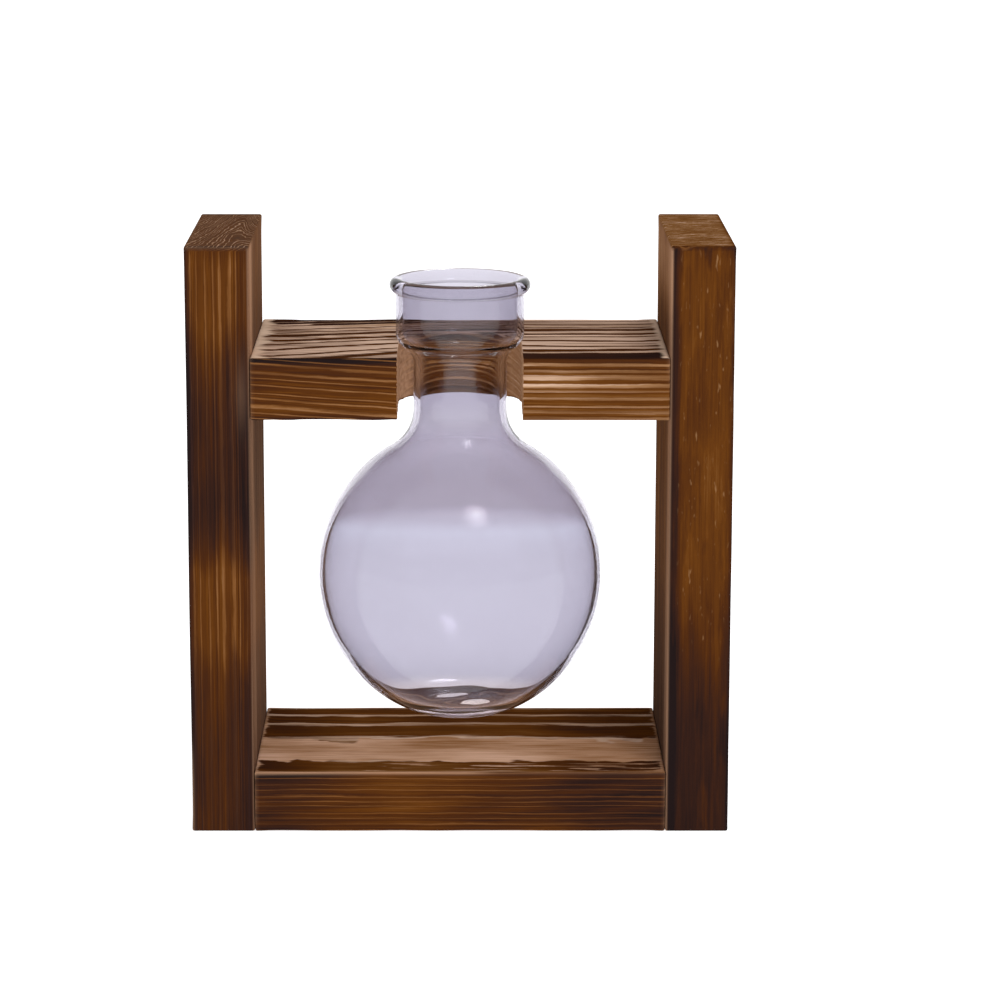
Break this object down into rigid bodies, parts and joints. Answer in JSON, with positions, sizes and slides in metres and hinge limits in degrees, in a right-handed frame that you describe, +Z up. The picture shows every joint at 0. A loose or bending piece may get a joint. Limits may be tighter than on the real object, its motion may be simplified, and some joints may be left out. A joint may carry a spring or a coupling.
{
  "type": "propagation vase",
  "caption": "Blown glass bulb vessel hung by its shoulder in the slotted crossbar of an upright torched-timber stand, for rooting cuttings in water; it draws out forwards.",
  "frame": {"origin": "on the table, under the middle of the stand, at the centre of the base rail's underside", "axes": "+X to the right as the slot's open side is faced, +Y to the back, +Z up"},
  "size_m": [0.15, 0.0831, 0.165],
  "materials": {
    "torched_wood": "torched and brushed softwood with raised grain, matt",
    "clear_glass": "clear blown glass",
    "screw_steel": "zinc plated"
  },
  "bodies": {
    "stand": {"left_post": "torched_wood", "right_post": "torched_wood", "crossbar": "torched_wood", "base_rail": "torched_wood", "base_screw_left_front": "screw_steel", "base_screw_left_back": "screw_steel", "base_screw_right_front": "screw_steel", "base_screw_right_back": "screw_steel", "crossbar_screw_left_front": "screw_steel", "crossbar_screw_left_back": "screw_steel", "crossbar_screw_right_front": "screw_steel", "crossbar_screw_right_back": "screw_steel"},
    "vessel": {"glass_vessel": "clear_glass"}
  },
  "joints": [
    {"name": "vessel_draw", "type": "slide", "parent": "stand", "child": "vessel", "axis": [0, -1, 0], "range_m": [0, 0.08]}
  ]
}
